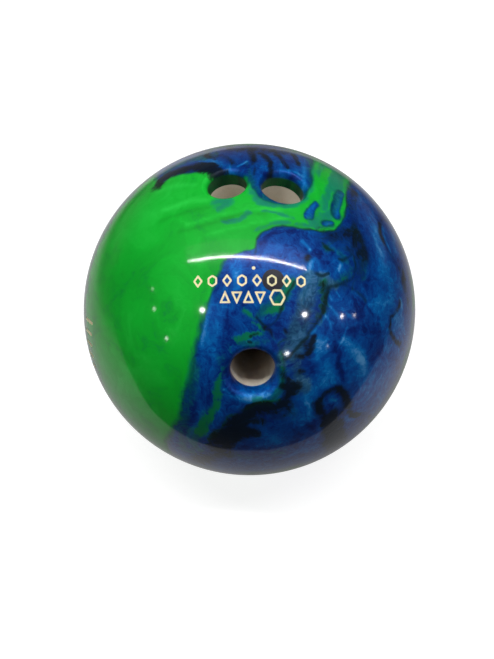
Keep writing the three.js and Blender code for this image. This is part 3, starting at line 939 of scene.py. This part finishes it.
class Graph:
    """Builds a material's nodes. An input given as a socket is linked, and any other value is set."""

    def __init__(self, name):
        self.material = bpy.data.materials.new(name)
        self.material.use_nodes = True
        self.tree = self.material.node_tree
        self.tree.nodes.clear()

    def node(self, kind, inputs=None, **settings):
        """A new node, its inputs by name or number, and its settings."""
        made = self.tree.nodes.new(kind)
        for key, value in settings.items():
            setattr(made, key, value)
        for key, value in (inputs or {}).items():
            if isinstance(value, bpy.types.NodeSocket):
                self.tree.links.new(value, made.inputs[key])
            else:
                made.inputs[key].default_value = value
        return made

    def field(self, name):
        """A field that the mesh carries on its vertices."""
        return self.node("ShaderNodeAttribute", attribute_name=name).outputs["Fac"]

    def position(self):
        """The place on the object itself, in metres."""
        return self.node("ShaderNodeTexCoord").outputs["Object"]

    def coordinate(self, axis):
        """One coordinate of the place on the object."""
        return self.node("ShaderNodeSeparateXYZ", {0: self.position()}).outputs[axis]

    def math(self, operation, first, second=0.0, third=0.0):
        """Arithmetic on numbers."""
        return self.node("ShaderNodeMath", {0: first, 1: second, 2: third}, operation=operation).outputs[0]

    def vector_math(self, operation, first, second):
        """Vector arithmetic. To scale, the second is a number, and otherwise it is a vector too."""
        inputs = {0: first, "Scale" if operation == "SCALE" else 1: second}
        return self.node("ShaderNodeVectorMath", inputs, operation=operation).outputs[0]

    def total(self, first, *others):
        """The sum of some numbers."""
        for other in others:
            first = self.math("ADD", first, other)
        return first

    def noise(self, vector, scale, detail=3.0, roughness=0.5, distortion=0.0):
        """Noise from 0 to 1, mostly near 0.5."""
        inputs = {
            "Vector": vector,
            "Scale": scale,
            "Detail": detail,
            "Roughness": roughness,
            "Distortion": distortion,
        }
        return self.node("ShaderNodeTexNoise", inputs).outputs[0]

    def pushed(self, vector, scale, amount):
        """A place moved about by noise."""
        inputs = {"Vector": vector, "Scale": scale, "Detail": PUSH_DETAIL, "Roughness": PUSH_ROUGHNESS}
        ripple = self.node("ShaderNodeTexNoise", inputs).outputs["Color"]
        push = self.vector_math("SUBTRACT", ripple, (0.5, 0.5, 0.5))
        push = self.vector_math("SCALE", push, amount)
        return self.vector_math("ADD", vector, push)

    def around_zero(self, value, size):
        """Noise from 0 to 1, as a swing about zero."""
        return self.math("MULTIPLY", self.math("SUBTRACT", value, 0.5), 2 * size)

    def frayed(self, stroke, fray, amount):
        """A stroke field roughened by noise, but only where the stroke is."""
        amount = self.math("MULTIPLY", self.mask(stroke, 0.0, FRAY_START), amount)
        return self.math("MULTIPLY_ADD", fray, amount, stroke)

    def mask(self, value, low, high):
        """0 below low, 1 above high, smooth between."""
        inputs = {"Value": value, "From Min": low, "From Max": high}
        return self.node("ShaderNodeMapRange", inputs, interpolation_type="SMOOTHSTEP").outputs[0]

    def blend(self, factor, first, second):
        """A number between two numbers."""
        return self.node("ShaderNodeMix", {0: factor, 2: first, 3: second}).outputs[0]

    def mix(self, factor, first, second):
        """A colour between two colours."""
        return self.node("ShaderNodeMix", {0: factor, 6: first, 7: second}, data_type="RGBA").outputs[2]

    def ramp(self, value, stops):
        """A colour from a number. A stop is a number and its colour."""
        made = self.node("ShaderNodeValToRGB", {0: value})
        elements = made.color_ramp.elements
        while len(elements) < len(stops):
            elements.new(0.5)
        for element, (place, color) in zip(elements, stops):
            element.position = place
            element.color = (*color, 1)
        return made.outputs[0]

    def bump(self, height, distance):
        """A normal for relief of this depth in metres."""
        return self.node("ShaderNodeBump", {"Height": height, "Distance": distance}).outputs[0]

    def finish(self, **inputs):
        """A surface shader. Names are the shader's inputs, with _ for a space."""
        inputs = {key.replace("_", " "): value for key, value in inputs.items()}
        return self.output(self.node("ShaderNodeBsdfPrincipled", inputs))

    def finish_glow(self, color):
        """A shader that only gives light."""
        return self.output(self.node("ShaderNodeEmission", {"Color": color}))

    def output(self, shader):
        """The material, with this shader as its surface."""
        self.node("ShaderNodeOutputMaterial", {"Surface": shader.outputs[0]})
        return self.material


def swirl_noises(g):
    """The swirl's noises by name. Most of them flow, one is stretched into streaks, and two stay put."""
    place = g.position()
    flowing = g.pushed(place, *FLOW_PUSH)
    stretched = g.vector_math("MULTIPLY", g.pushed(place, *STREAK_PUSH), STREAK_STRETCH)
    places = {"streaks": stretched, "fine": place, "ripple": place}
    noises = {name: g.noise(places.get(name, flowing), *shape) for name, shape in NOISES.items()}
    noises["texture"] = g.blend(g.field("streaky"), noises["billows"], noises["streaks"])
    return noises


def swirl_shapes(g, noises):
    """The swirl's fields, frayed. Away from the photo's view, noise alone lays out green and smoke."""
    far = g.field("far")
    patches = g.math("ADD", 0.5, g.around_zero(noises["far_patches"], FAR_SHARPNESS))
    veins = g.math("ABSOLUTE", g.around_zero(noises["far_veins"], FAR_SHARPNESS))
    veins = g.math("SUBTRACT", FAR_VEIN, veins)
    shapes = {name: g.field(name) for name in FRAYING}
    shapes["green"] = g.blend(far, shapes["green"], g.mask(patches, 0.0, 1.0))
    shapes["smoke"] = g.blend(far, shapes["smoke"], g.mask(veins, 0.0, 1.0))
    fray = g.total(*[g.around_zero(noises[name], swing) for name, swing in FRAY.items()])
    return {name: g.frayed(shape, fray, FRAYING[name]) for name, shape in shapes.items()}


def pearl_light(g, noises):
    """How light the pearl is: its field, the noises, and thin bright filaments along a noise's ridges."""
    ridge = g.math("ABSOLUTE", g.math("SUBTRACT", noises["ridges"], 0.5))
    along_ridge = g.mask(ridge, FILAMENT_WIDTH, 0.0)
    filaments = g.math("MULTIPLY", along_ridge, g.mask(noises["billows"], *FILAMENT_BILLOWS))
    swings = [g.around_zero(noises[name], swing) for name, swing in PEARL_SWING.items()]
    return g.total(g.field("light"), PEARL_LEVEL, *swings, g.math("MULTIPLY", filaments, FILAMENT_LIGHT))


def swirl_color(g, shapes, noises):
    """Pearl blue, and the other resins laid over it in turn."""
    light = pearl_light(g, noises)
    green_tone = g.blend(0.5, noises["broad"], noises["texture"])
    green_tone = g.math("MULTIPLY_ADD", g.field("light"), GREEN_LIGHT, green_tone)
    sea_green_tone = g.math("ADD", green_tone, g.around_zero(noises["wisps"], SEA_GREEN_SWING))
    greens = g.mix(
        g.mask(shapes["teal"], *SEA_GREEN_TEAL),
        g.ramp(green_tone, GREEN_TONES),
        g.ramp(sea_green_tone, SEA_GREEN_TONES),
    )
    rock = g.ramp(g.blend(CRUMB_SHARE, noises["billows"], noises["crumbs"]), ROCK_TONES)
    # Each layer's shape, where in it the layer starts and is full, its opacity there, and its colour.
    layers = [
        ("teal", 0.1, 1.0, 0.9, g.ramp(light, TEAL_TONES)),
        ("pale", 0.0, 0.9, 0.82, rock),
        ("green", 0.0, 0.5, 1.0, GREEN_EDGE),
        ("fleck", 0.1, 0.9, 0.9, FLECK_GREEN),
        ("green", 0.25, 0.95, 1.0, greens),
        ("smoke", -0.08, 0.86, 0.96, SMOKE_BLACK),
        ("line", 0.0, 0.85, 0.9, LINE_BLACK),
    ]
    color = g.ramp(light, BLUE_TONES)
    for name, start, full, opacity, layer in layers:
        amount = g.math("MULTIPLY", g.mask(shapes[name], start, full), opacity)
        color = g.mix(amount, color, layer)
    # Deeper in the finger holes the wall takes a dark green: the resin's green with painted shade.
    return g.mix(g.field("inside"), color, g.ramp(noises["texture"], SHADED_FINGER_WALL_TONES))


def shell_material(name, coat_roughness, coat):
    """Swirled resin under a clear coat of this roughness and strength."""
    g = Graph(name)
    noises = swirl_noises(g)
    shapes = swirl_shapes(g, noises)
    blueness = g.mask(shapes["green"], *PEARL_RANGE)
    return g.finish(
        Base_Color=swirl_color(g, shapes, noises),
        Metallic=g.math("MULTIPLY", blueness, 0.3),
        Roughness=g.blend(blueness, 0.55, g.blend(noises["texture"], 0.26, 0.42)),
        Specular_IOR_Level=0.3,
        Specular_Tint=PEARL_TINT,
        Coat_Weight=coat,
        Coat_Roughness=coat_roughness,
        Coat_IOR=1.5,
        Coat_Normal=g.bump(noises["ripple"], 0.02 * MM),
        Normal=g.bump(noises["wisps"], 0.2 * MM),
    )


def drilled_material(name, tones):
    """Bare drilled filler: faint patches and a chalky grain."""
    g = Graph(name)
    place = g.position()
    grain = g.noise(place, scale=900, detail=4, roughness=0.7)
    patches = g.noise(place, scale=60, detail=4, roughness=0.6)
    return g.finish(
        Base_Color=g.ramp(g.blend(0.3, patches, grain), tones),
        Roughness=g.blend(grain, 0.55, 0.8),
        Normal=g.bump(g.blend(0.4, grain, patches), 0.2 * MM),
    )


def pin_material():
    """Dark resin polished with the shell."""
    g = Graph("pin_resin")
    patches = g.noise(g.position(), scale=260, detail=4, roughness=0.6)
    return g.finish(
        Base_Color=g.ramp(patches, PIN_TONES),
        Roughness=g.blend(patches, 0.25, 0.4),
        Coat_Weight=1.0,
        Coat_Roughness=0.02,
        Coat_IOR=1.55,
        Normal=g.bump(patches, 0.05 * MM),
    )


def paint_material():
    """Cream paint wiped into the engraved marks."""
    g = Graph("mark_paint")
    patches = g.noise(g.position(), scale=500, detail=4, roughness=0.6)
    return g.finish(
        Base_Color=g.ramp(patches, PAINT_TONES),
        Roughness=g.blend(patches, 0.35, 0.55),
        Normal=g.bump(patches, 0.06 * MM),
    )


# ---- The pieces ----


def place_piece(piece, material, slot, *nodes):
    """Gives a piece its material, and has it stand in for the CAD's nodes. The slot is not used."""
    piece.data.materials.clear()
    piece.data.materials.append(material)
    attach(piece, "root")
    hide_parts(*nodes)


def build_shell(tools):
    """The swirled shell. The drilled and bevelled faces are less glossy than the polished ones."""
    shell = cube_sphere("shell", BALL_RADIUS, SHELL_PER_SIDE, SHELL_CROWDING)
    cut(shell, tools)
    round_normals(shell, spheres=(BALL_RADIUS, FILLER_RADIUS + JOIN), holes=HOLES)
    places = vertex_places(shell.data)
    add_fields(shell, swirl_fields(unit(places)))
    add_fields(shell, {"inside": inside_fingers(places)})
    cut_faces = on_cut_surface(shell.data, places)
    polished = shell_material("polished_resin", coat_roughness=0.085, coat=1.0)
    place_piece(shell, polished, "coverstock", "coverstock")
    shell.data.materials.append(shell_material("bevelled_resin", coat_roughness=0.35, coat=0.2))
    shell.data.polygons.foreach_set("material_index", np.array(cut_faces, np.int32))


def build_filler(tools):
    """The cream sphere under the shell, bare inside the holes."""
    filler = cube_sphere("filler", FILLER_RADIUS, FILLER_PER_SIDE)
    cut(filler, tools)
    round_normals(filler, spheres=(FILLER_RADIUS,), holes=HOLES)
    place_piece(filler, drilled_material("cast_filler", CREAM_TONES), "filler", "outer_core")


def build_block(pin_axes, tools):
    """The dense bulb in the middle."""
    block = turned_object("block", block_outline(), pin_axes)
    block.scale = (BLOCK_SHRINK,) * 3
    cut(block, tools)
    material = drilled_material("cast_weight_block", BLOCK_TONES)
    place_piece(block, material, "weight_block", "weight_block")


def build_pin(pin_axes, bottom, tools):
    """The dark dowel that stands on the weight block and ends in the ball's surface."""
    pin = turned_object("pin", capped_rod_outline(PIN_RADIUS, bottom), pin_axes)
    cut(pin, tools)
    round_normals(pin, spheres=(BALL_RADIUS,), rods=[(pin_axes, PIN_RADIUS)])
    place_piece(pin, pin_material(), "locator_pin", "locator_pin")


def build_ball():
    """Every piece of the ball, and the tools that cut them, which go when it is done."""
    pin_axes = place_axes(**PIN_PLACE)
    block_top = BLOCK_OUTLINE[-1][1] * MM
    pin_outline = rod_outline(PIN_RADIUS + JOIN, block_top, BALL_RADIUS + MM)
    hole_tools = [turned_object(name, hole_outline(HOLES[name]), hole_axes(name)) for name in HOLES]
    pin_tool = turned_object("pin_space", pin_outline, pin_axes)
    inner = cube_sphere("inner", FILLER_RADIUS + JOIN, FILLER_PER_SIDE)
    block_space = turned_object("block_space", block_outline(), pin_axes)
    paints, grooves = build_marks()

    build_shell([inner, *hole_tools, pin_tool, grooves])
    build_filler([block_space, *hole_tools, pin_tool])
    build_block(pin_axes, hole_tools)
    build_pin(pin_axes, block_top + JOIN, [grooves])
    paint = paint_material()
    for name, piece in paints.items():
        piece.data.polygons.foreach_set("use_smooth", [False] * len(piece.data.polygons))
        place_piece(piece, paint, "paint", name)
    discard([inner, block_space, pin_tool, grooves, *hole_tools])


# ---- Floor, lights and camera ----

CAMERA_DISTANCE = 6 * BALL_RADIUS
LENS = 53.6
SENSOR_WIDTH = 36
SHIFT = (-0.0038, -0.0304)

WORLD_GLOW = (0.022, 0.023, 0.024, 1)
FLOOR_Z = -BALL_RADIUS
FLOOR_REACH = 4.0
FLOOR_TONES = [(0.3, (0.34, 0.34, 0.34)), (0.7, (0.36, 0.36, 0.36))]
FLOOR_GLOW = 0.85
BACKDROP_TONES = [(0.3, (0.93, 0.93, 0.93)), (0.7, (1.0, 1.0, 1.0))]
BACKDROP_RADIUS = 3.9
BACKDROP_TOP = 4.0
BACKDROP_SIDES = 64


def area_light(name, place, size, radiance, shape="RECTANGLE", shines=True):
    """A light that faces the ball. One that doesn't shine gives light but no reflection."""
    data = bpy.data.lights.new(name, "AREA")
    data.shape = shape
    data.size = size[0]
    if shape == "RECTANGLE":
        data.size_y = size[1]
    area = size[0] * size[1] * (math.pi / 4 if shape == "DISK" else 1)
    data.energy = radiance * math.pi * area
    made = bpy.data.objects.new(name, data)
    made.location = place
    made.rotation_euler = (-Vector(place)).to_track_quat("-Z", "Y").to_euler()
    made.visible_glossy = shines
    bpy.context.scene.collection.objects.link(made)
    return made


def toward(azimuth, elevation, distance):
    """A point at an angle from the front (-Y) towards the right (+X), and an angle above level."""
    turn, climb = math.radians(azimuth), math.radians(elevation)
    level = Vector((math.sin(turn), -math.cos(turn), 0))
    return (level * math.cos(climb) + Vector((0, 0, math.sin(climb)))) * distance


# Small lamps: azimuth and elevation in degrees, diameter in metres, and radiance.
SPOTS = [
    (-36.4, 31.8, 0.19, 60),
    (41.0, 27.2, 0.19, 60),
    (23.4, 7.2, 0.16, 45),
    (65.4, 13.5, 0.14, 40),
    (-54.1, 5.6, 0.13, 18),
    (-69.7, 15.7, 0.13, 14),
    (73.9, 8.5, 0.13, 14),
    (-78.5, 22.8, 0.14, 6),
    (50.0, 2.7, 0.10, 8),
]
SPOT_DISTANCE = 4.0

# A straight lamp across the ceiling: its ends, the pale reflector behind it, and the light that both give.
TUBE_ENDS = (Vector((-1.27, -0.435, 1.6)), Vector((1.195, -0.659, 1.6)))
TUBE_WIDTH = 0.018
TUBE_RADIANCE = 88
REFLECTOR_WIDTH = 0.34
REFLECTOR_RADIANCE = 0.4
TUBE_GLOW_WIDTH = 0.05
TUBE_GLOW_RADIANCE = 29

# Soft light from above and from both sides, which the ball doesn't reflect.
CEILING_PLACE = (0, 0.3, 1.9)
CEILING_SIZE = (3.0, 1.5)
CEILING_RADIANCE = 1.4
FILL_SIZE = (1.6, 1.2)
FILLS = [("left_fill", (-1.9, -1.5, 0.9), 0.8), ("right_fill", (1.9, -1.5, 0.9), 0.62)]

# The pale table that the ball's sides reflect, in ball radii.
TABLE_OUTLINE = [
    (-2.3, -1.1), (-1.4, -1.08), (0, -1.25), (0.9, -1.17), (2, -1.15), (3.1, -0.82), (3.9, -0.3), (5.2, 0.6),
    (7, 2.6), (8, 4.5), (14, 60), (-60, 60), (-60, 30), (-26, 14), (-12.5, 2.6), (-7.2, 0.3), (-4.3, -0.7),
]
# How bright the table is at some places from left to right, in ball radii; it is dimmer in the ball's shade.
TABLE_SHADE = [
    (-8.5, 0.06), (-6.2, 0.12), (-5.0, 0.20), (-4.2, 0.38), (-3.0, 0.48), (-1.9, 0.50), (-0.8, 0.36),
    (0.0, 0.25), (0.8, 0.24), (1.9, 0.42), (2.4, 0.32), (3.0, 0.26), (3.5, 0.19), (4.2, 0.11), (5.0, 0.06),
    (8.0, 0.03),
]
TABLE_REACH = 10
# The dim wall behind: how bright it is at its foot and its top.
WALL_SHADE = [(0.0, 0.13), (1.0, 0.02)]
WALL_TOP = 1.6
WALL_BEHIND = 3.0
WALL_REACH = 6.0


def hide_from(made, *rays):
    """Hides an object from some kinds of ray."""
    for ray in rays:
        setattr(made, "visible_" + ray, False)


def reflected_card(card, material):
    """Makes a card glow, but only in the ball's reflections."""
    card.data.materials.append(material)
    hide_from(card, "camera", "diffuse", "shadow")


def gray_stops(shades):
    """A ramp's stops from places and shades of gray."""
    return [(place, (shade,) * 3) for place, shade in shades]


def build_world():
    """A dim even glow from everywhere."""
    world = bpy.data.worlds.new("studio")
    world.use_nodes = True
    world.node_tree.nodes["Background"].inputs[0].default_value = WORLD_GLOW
    bpy.context.scene.world = world


def build_floor():
    """A plain pale floor, which the ball shades but doesn't reflect."""
    corners = [(x * FLOOR_REACH, y * FLOOR_REACH, FLOOR_Z) for x, y in ((-1, -1), (1, -1), (1, 1), (-1, 1))]
    floor = make_object("floor", corners, [(0, 1, 2, 3)])
    g = Graph("pale_floor")
    floor.data.materials.append(g.finish(
        Base_Color=g.ramp(g.noise(g.position(), scale=3, detail=2), FLOOR_TONES),
        Roughness=0.9,
        Emission_Color=(1, 1, 1, 1),
        Emission_Strength=FLOOR_GLOW,
    ))
    hide_from(floor, "glossy", "diffuse")


def build_table():
    """The table that the ball reflects, as bright from left to right as its shade says."""
    points = [(x * BALL_RADIUS, y * BALL_RADIUS, FLOOR_Z) for x, y in TABLE_OUTLINE]
    table = make_object("reflected_table", points, [tuple(range(len(points)))])
    g = Graph("table_glow")
    share = g.math("MULTIPLY_ADD", g.coordinate("X"), 0.5 / (TABLE_REACH * BALL_RADIUS), 0.5)
    shades = [(0.5 + 0.5 * place / TABLE_REACH, shade) for place, shade in TABLE_SHADE]
    reflected_card(table, g.finish_glow(g.ramp(share, gray_stops(shades))))


def build_wall():
    """The wall behind that the ball reflects, dimmer towards its top."""
    sides = [(-WALL_REACH, FLOOR_Z), (WALL_REACH, FLOOR_Z), (WALL_REACH, WALL_TOP), (-WALL_REACH, WALL_TOP)]
    wall = make_object("reflected_wall", [(x, WALL_BEHIND, z) for x, z in sides], [(0, 1, 2, 3)])
    g = Graph("wall_glow")
    share = g.math("DIVIDE", g.coordinate("Z"), WALL_TOP)
    reflected_card(wall, g.finish_glow(g.ramp(share, gray_stops(WALL_SHADE))))


def build_tube():
    """The straight lamp: a thin bright tube, its reflector, and a wider glow that lights the ball."""
    start, end = TUBE_ENDS
    across = end - start
    middle = (start + end) / 2
    behind = Vector((-across.y, across.x, 0)).normalized() * (REFLECTOR_WIDTH + TUBE_WIDTH) / 2
    reflector_size = (across.length, REFLECTOR_WIDTH)
    glow_size = (across.length, TUBE_GLOW_WIDTH)
    lamps = [
        area_light("tube", middle, (across.length, TUBE_WIDTH), TUBE_RADIANCE),
        area_light("reflector", middle + behind, reflector_size, REFLECTOR_RADIANCE),
        area_light("tube_glow", middle, glow_size, TUBE_GLOW_RADIANCE, shines=False),
    ]
    for lamp in lamps:
        lamp.rotation_euler = (0, 0, math.atan2(across.y, across.x))


def build_lights():
    """The tube, the soft light round the ball, and the small lamps that it reflects."""
    build_tube()
    ceiling = area_light("ceiling", CEILING_PLACE, CEILING_SIZE, CEILING_RADIANCE, shines=False)
    ceiling.rotation_euler = (0, 0, 0)
    for name, place, radiance in FILLS:
        area_light(name, place, FILL_SIZE, radiance, shines=False)
    for i, (azimuth, elevation, diameter, radiance) in enumerate(SPOTS):
        place = toward(azimuth, elevation, SPOT_DISTANCE)
        area_light(f"spot_{i + 1}", place, (diameter, diameter), radiance, shape="DISK")


def build_backdrop():
    """A pale ring round the floor, which only the camera sees."""
    turns = [math.tau * i / BACKDROP_SIDES for i in range(BACKDROP_SIDES)]
    ring = [(BACKDROP_RADIUS * math.sin(turn), BACKDROP_RADIUS * math.cos(turn)) for turn in turns]
    points = [(x, y, z) for z in (FLOOR_Z, BACKDROP_TOP) for x, y in ring]
    walls = []
    for i in range(BACKDROP_SIDES):
        j = (i + 1) % BACKDROP_SIDES
        walls.append((i, j, j + BACKDROP_SIDES, i + BACKDROP_SIDES))
    backdrop = make_object("backdrop", points, walls)
    g = Graph("pale_backdrop")
    tone = g.noise(g.position(), scale=0.8, detail=2)
    backdrop.data.materials.append(g.finish_glow(g.ramp(tone, BACKDROP_TONES)))
    hide_from(backdrop, "glossy", "diffuse", "shadow")


def build_camera():
    """A camera at the photograph's angle and framing."""
    data = bpy.data.cameras.new("camera")
    data.lens = LENS
    data.sensor_width = SENSOR_WIDTH
    data.shift_x, data.shift_y = SHIFT
    camera = bpy.data.objects.new("camera", data)
    camera.location = toward(0, CAMERA_ELEVATION, CAMERA_DISTANCE)
    camera.rotation_euler = (-camera.location).to_track_quat("-Z", "Y").to_euler()
    bpy.context.scene.collection.objects.link(camera)
    bpy.context.scene.camera = camera


build_ball()
build_world()
build_floor()
build_table()
build_wall()
build_lights()
build_backdrop()
build_camera()
bpy.context.scene.view_settings.view_transform = "Standard"
